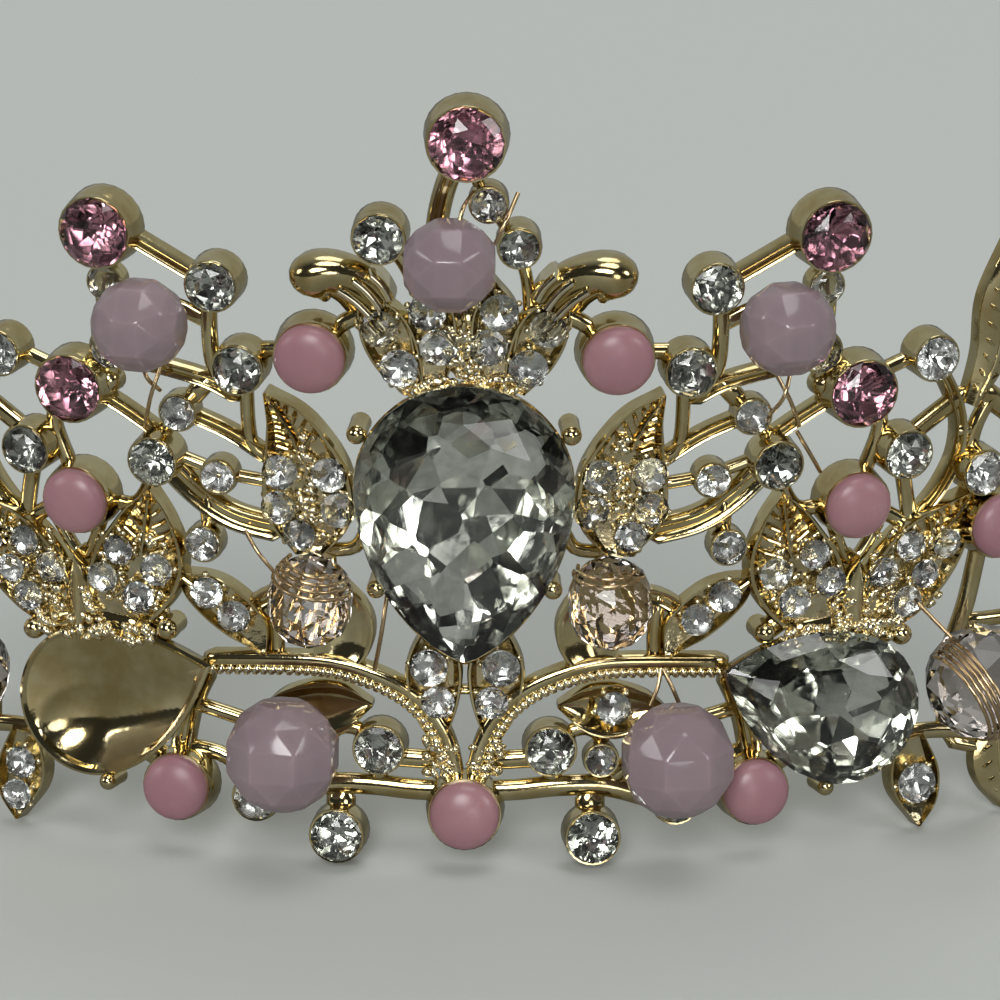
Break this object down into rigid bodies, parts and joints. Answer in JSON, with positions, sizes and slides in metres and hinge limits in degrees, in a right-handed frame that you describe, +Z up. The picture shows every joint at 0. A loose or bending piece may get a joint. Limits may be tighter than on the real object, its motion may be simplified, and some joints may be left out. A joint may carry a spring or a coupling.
{
  "type": "tiara",
  "caption": "Gold-plated cast tiara with leaf sprays, roped arms and side bands, set with clear and fuchsia crystals, opal cabochons and faceted beads.",
  "frame": {"origin": "middle of the bounding box's underside, on the surface that the tiara stands on", "axes": "+X to the right across the front as the viewer sees it, -Y out of the front, +Z up"},
  "size_m": [0.1582, 0.0808, 0.0704],
  "materials": {
    "gold": "polished light gold plating",
    "fuchsia": "cut foiled glass",
    "clear": "cut foiled glass",
    "milky": "faceted milky glass",
    "peach": "finely faceted glass",
    "cabochon": "glossy opal resin"
  },
  "bodies": {
    "root": {"frame": "gold", "fuchsia_top": "fuchsia", "fuchsia_side_right": "fuchsia", "fuchsia_side_left": "fuchsia", "fuchsia_low_right": "fuchsia", "fuchsia_low_left": "fuchsia", "clear_top_left": "clear", "clear_top_right": "clear", "clear_shoulder_right": "clear", "clear_shoulder_left": "clear", "clear_inner_right": "clear", "clear_inner_left": "clear", "clear_waist_right": "clear", "clear_waist_left": "clear", "clear_outer_right": "clear", "clear_outer_left": "clear", "clear_low_right": "clear", "clear_low_left": "clear", "clear_foot_right": "clear", "clear_foot_left": "clear", "cab_upper_right": "cabochon", "cab_upper_left": "cabochon", "cab_waist_right": "cabochon", "cab_waist_left": "cabochon", "cab_end_right": "cabochon", "cab_end_left": "cabochon", "cab_low_right": "cabochon", "cab_low_left": "cabochon", "cab_foot": "cabochon", "milky_top": "milky", "milky_upper_left": "milky", "milky_upper_right": "milky", "milky_low_left": "milky", "milky_low_right": "milky", "peach_mid_left": "peach", "peach_mid_right": "peach", "peach_end_left": "peach", "peach_end_right": "peach", "pear_centre": "clear", "pear_right": "clear"}
  },
  "joints": []
}
